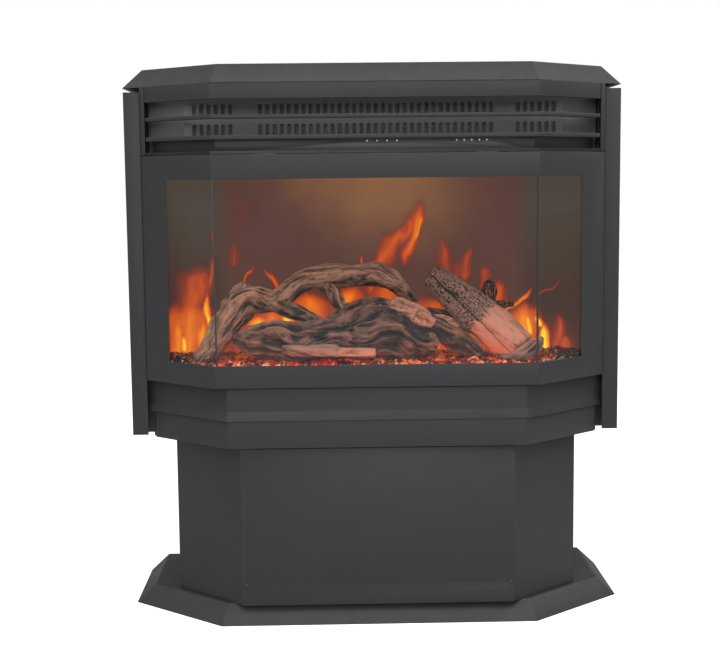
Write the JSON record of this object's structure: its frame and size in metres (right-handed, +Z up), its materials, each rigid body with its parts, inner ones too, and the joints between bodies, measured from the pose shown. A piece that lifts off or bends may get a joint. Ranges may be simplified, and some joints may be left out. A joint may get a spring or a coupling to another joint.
{
  "type": "electric fireplace",
  "caption": "Free-standing electric fireplace with a three-sided bay window, glass embers, cast logs, louvred warm-air outlet and a pedestal on a bevelled plinth.",
  "frame": {"origin": "on the floor, under the middle of the outline of the plinth", "axes": "+X to the right as seen from the front, +Y to the back, +Z up; the window faces -Y"},
  "size_m": [0.707, 0.276, 0.772],
  "materials": {
    "coat_black": "matt black powder coat with a fine orange-peel texture",
    "black_screw": "black-coated pan-head screw",
    "galvanised_sheet": "bare galvanised sheet with a faint spangle",
    "window_glass": "clear tempered float glass, polished",
    "seal_silicone": "dark silicone bead between the panes",
    "magnet_nickel": "nickel-plated magnet block",
    "flame_acrylic": "smoked diffusing acrylic that shows the flames",
    "ember_crystal": "crushed red and amber glass, lit from below",
    "brown_bark": "cast log, weathered root wood, matt",
    "charred_bark": "cast log, charred layered bark, matt",
    "bare_wood": "cast log, split pale wood, matt",
    "mirror_foil": "polished reflective fins",
    "blower_alloy": "stamped aluminium, satin",
    "bush_brass": "sintered brass bush",
    "motor_steel": "zinc-plated motor can",
    "circuit_board": "green solder mask board",
    "heater_wire": "resistance coil on a ceramic rod",
    "black_plastic": "moulded black plastic, fine grain",
    "rocker_plastic": "polished black rocker",
    "lamp_white": "clear white light pipe"
  },
  "bodies": {
    "casing": {"chassis_left_wall": "coat_black", "chassis_right_wall": "coat_black", "plinth": "coat_black", "pedestal_left_panel": "coat_black", "pedestal_right_panel": "coat_black", "pedestal_back_panel": "coat_black", "pedestal_front_panel": "coat_black", "rear_panel": "coat_black", "left_side_panel": "coat_black", "right_side_panel": "coat_black", "cap": "coat_black", "apron": "coat_black", "valance": "coat_black", "firebox_ceiling": "coat_black", "firebox_left_liner": "coat_black", "firebox_right_liner": "coat_black", "louvre_fascia": "coat_black", "louvre_blades": "coat_black", "louvre_end_posts": "coat_black", "outlet_grille": "coat_black", "casing_screws": "black_screw", "base_plate": "galvanised_sheet", "top_panel": "galvanised_sheet", "firebox_floor": "galvanised_sheet", "ember_tray": "galvanised_sheet", "rotor_brackets": "galvanised_sheet", "blower_housing": "galvanised_sheet", "heater_frame": "galvanised_sheet", "power_supply": "galvanised_sheet", "window_magnets": "magnet_nickel", "flame_screen": "flame_acrylic", "ember_bed": "ember_crystal", "root_log": "brown_bark", "front_log": "charred_bark", "centre_log": "charred_bark", "back_stubs": "charred_bark", "front_splinter": "bare_wood", "split_log": "bare_wood", "rotor_bushes": "bush_brass", "rotor_motor": "motor_steel", "blower_motor": "motor_steel", "touch_board": "circuit_board", "ember_light_board": "circuit_board", "flame_light_board": "circuit_board", "control_board": "circuit_board", "heater_elements": "heater_wire", "control_strip": "black_plastic", "thermal_cutout": "black_plastic", "cord_gland": "black_plastic", "switch_bezel": "black_plastic", "status_lamps": "lamp_white"},
    "window": {"window_frame": "coat_black", "front_glass": "window_glass", "left_glass": "window_glass", "right_glass": "window_glass", "glass_seals": "seal_silicone", "glass_clips": "galvanised_sheet"},
    "rotor": {"flame_rotor": "mirror_foil"},
    "wheel": {"blower_wheel": "blower_alloy"},
    "rocker": {"power_rocker": "rocker_plastic"}
  },
  "joints": [
    {"name": "window_pull", "type": "slide", "parent": "casing", "child": "window", "axis": [0, -1, 0], "range_m": [0, 0.12]},
    {"name": "rotor_spin", "type": "hinge", "parent": "casing", "child": "rotor", "pos_m": [0, 0.062, 0.385], "axis": [1, 0, 0], "continuous": true},
    {"name": "wheel_spin", "type": "hinge", "parent": "casing", "child": "wheel", "pos_m": [0, 0.045, 0.699], "axis": [1, 0, 0], "continuous": true},
    {"name": "rocker_tilt", "type": "hinge", "parent": "casing", "child": "rocker", "pos_m": [0.225, 0.129, 0.29], "axis": [1, 0, 0], "range_deg": [-16, 0]}
  ]
}
